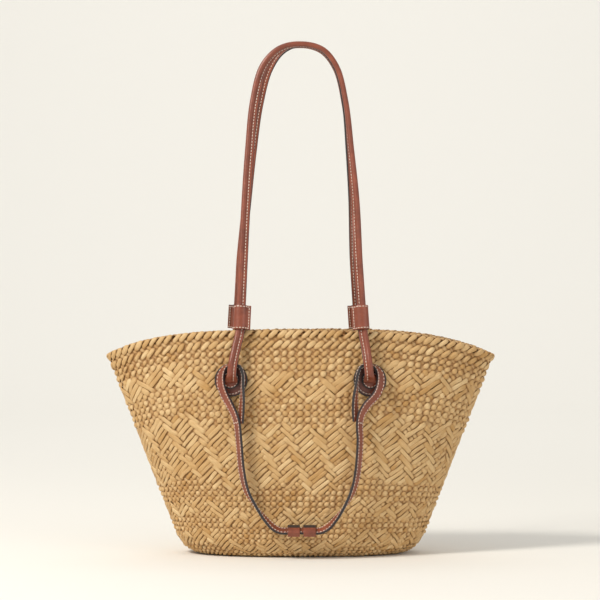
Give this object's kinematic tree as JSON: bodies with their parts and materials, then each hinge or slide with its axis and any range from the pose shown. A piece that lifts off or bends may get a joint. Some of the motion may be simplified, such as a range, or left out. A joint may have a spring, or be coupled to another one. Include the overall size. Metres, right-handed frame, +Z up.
{
  "type": "beach bag",
  "caption": "Plaited palm-leaf beach basket with a flared lens-shaped mouth, tall rolled-leather shoulder handles and short hanging leather hand straps.",
  "frame": {"origin": "on the floor, under the middle of the base", "axes": "+Z up, -Y the front of the bag, +X to the right as the front is looked at"},
  "size_m": [0.4048, 0.1762, 0.5326],
  "materials": {
    "palm_leaf": "dry plaited palm leaf, natural straw colour, slightly glossy on the fibres",
    "tan_leather": "smooth vegetable-tanned leather, satin, with dark painted edges and pale stitching",
    "dark_leather": "smooth leather, satin, with dark painted edges and pale stitching",
    "cotton_cord": "undyed twisted cotton, matt"
  },
  "bodies": {
    "basket": {"basket_wall": "palm_leaf", "basket_base": "palm_leaf", "rim_fold": "palm_leaf", "patch_front_left": "dark_leather", "handle_tab_front_left": "tan_leather", "backing_front_left": "dark_leather", "patch_front_right": "dark_leather", "handle_tab_front_right": "tan_leather", "backing_front_right": "dark_leather", "patch_back_left": "dark_leather", "handle_tab_back_left": "tan_leather", "backing_back_left": "dark_leather", "patch_back_right": "dark_leather", "handle_tab_back_right": "tan_leather", "backing_back_right": "dark_leather"},
    "handle_front": {"shoulder_handle_front": "tan_leather", "handle_cord_front": "cotton_cord"},
    "hand_strap_front": {"hand_strap_front": "tan_leather"},
    "sleeve_front_left": {"sleeve_front_left": "tan_leather"},
    "strap_loop_front_left": {"strap_loop_front_left": "tan_leather"},
    "sleeve_front_right": {"sleeve_front_right": "tan_leather"},
    "strap_loop_front_right": {"strap_loop_front_right": "tan_leather"},
    "handle_back": {"shoulder_handle_back": "tan_leather", "handle_cord_back": "cotton_cord"},
    "hand_strap_back": {"hand_strap_back": "tan_leather"},
    "sleeve_back_left": {"sleeve_back_left": "tan_leather"},
    "strap_loop_back_left": {"strap_loop_back_left": "tan_leather"},
    "sleeve_back_right": {"sleeve_back_right": "tan_leather"},
    "strap_loop_back_right": {"strap_loop_back_right": "tan_leather"}
  },
  "joints": [
    {"name": "shoulder_handle_front_swing", "type": "hinge", "parent": "basket", "child": "handle_front", "pos_m": [0, -0.07126, 0.178], "axis": [1, 0, 0], "range_deg": [0, 85]},
    {"name": "hand_strap_front_swing", "type": "hinge", "parent": "basket", "child": "hand_strap_front", "pos_m": [0, -0.06911, 0.1966], "axis": [-1, 0, 0], "range_deg": [0, 140]},
    {"name": "sleeve_front_left_slide", "type": "slide", "parent": "handle_front", "child": "sleeve_front_left", "axis": [0.0392, 0.1973, 0.9796], "range_m": [0, 0.042]},
    {"name": "strap_loop_front_left_slide", "type": "slide", "parent": "hand_strap_front", "child": "strap_loop_front_left", "axis": [1, 0, 0], "range_m": [-0.0065, 0]},
    {"name": "sleeve_front_right_slide", "type": "slide", "parent": "handle_front", "child": "sleeve_front_right", "axis": [-0.0615, 0.1971, 0.9784], "range_m": [0, 0.042]},
    {"name": "strap_loop_front_right_slide", "type": "slide", "parent": "hand_strap_front", "child": "strap_loop_front_right", "axis": [1, 0, 0], "range_m": [0, 0.0045]},
    {"name": "shoulder_handle_back_swing", "type": "hinge", "parent": "basket", "child": "handle_back", "pos_m": [0, 0.07126, 0.178], "axis": [-1, 0, 0], "range_deg": [0, 85]},
    {"name": "hand_strap_back_swing", "type": "hinge", "parent": "basket", "child": "hand_strap_back", "pos_m": [0, 0.06911, 0.1966], "axis": [1, 0, 0], "range_deg": [0, 140]},
    {"name": "sleeve_back_left_slide", "type": "slide", "parent": "handle_back", "child": "sleeve_back_left", "axis": [0.0587, -0.1972, 0.9786], "range_m": [0, 0.042]},
    {"name": "strap_loop_back_left_slide", "type": "slide", "parent": "hand_strap_back", "child": "strap_loop_back_left", "axis": [1, 0, 0], "range_m": [-0.0065, 0]},
    {"name": "sleeve_back_right_slide", "type": "slide", "parent": "handle_back", "child": "sleeve_back_right", "axis": [-0.0643, -0.1971, 0.9783], "range_m": [0, 0.042]},
    {"name": "strap_loop_back_right_slide", "type": "slide", "parent": "hand_strap_back", "child": "strap_loop_back_right", "axis": [1, 0, 0], "range_m": [0, 0.0045]}
  ]
}
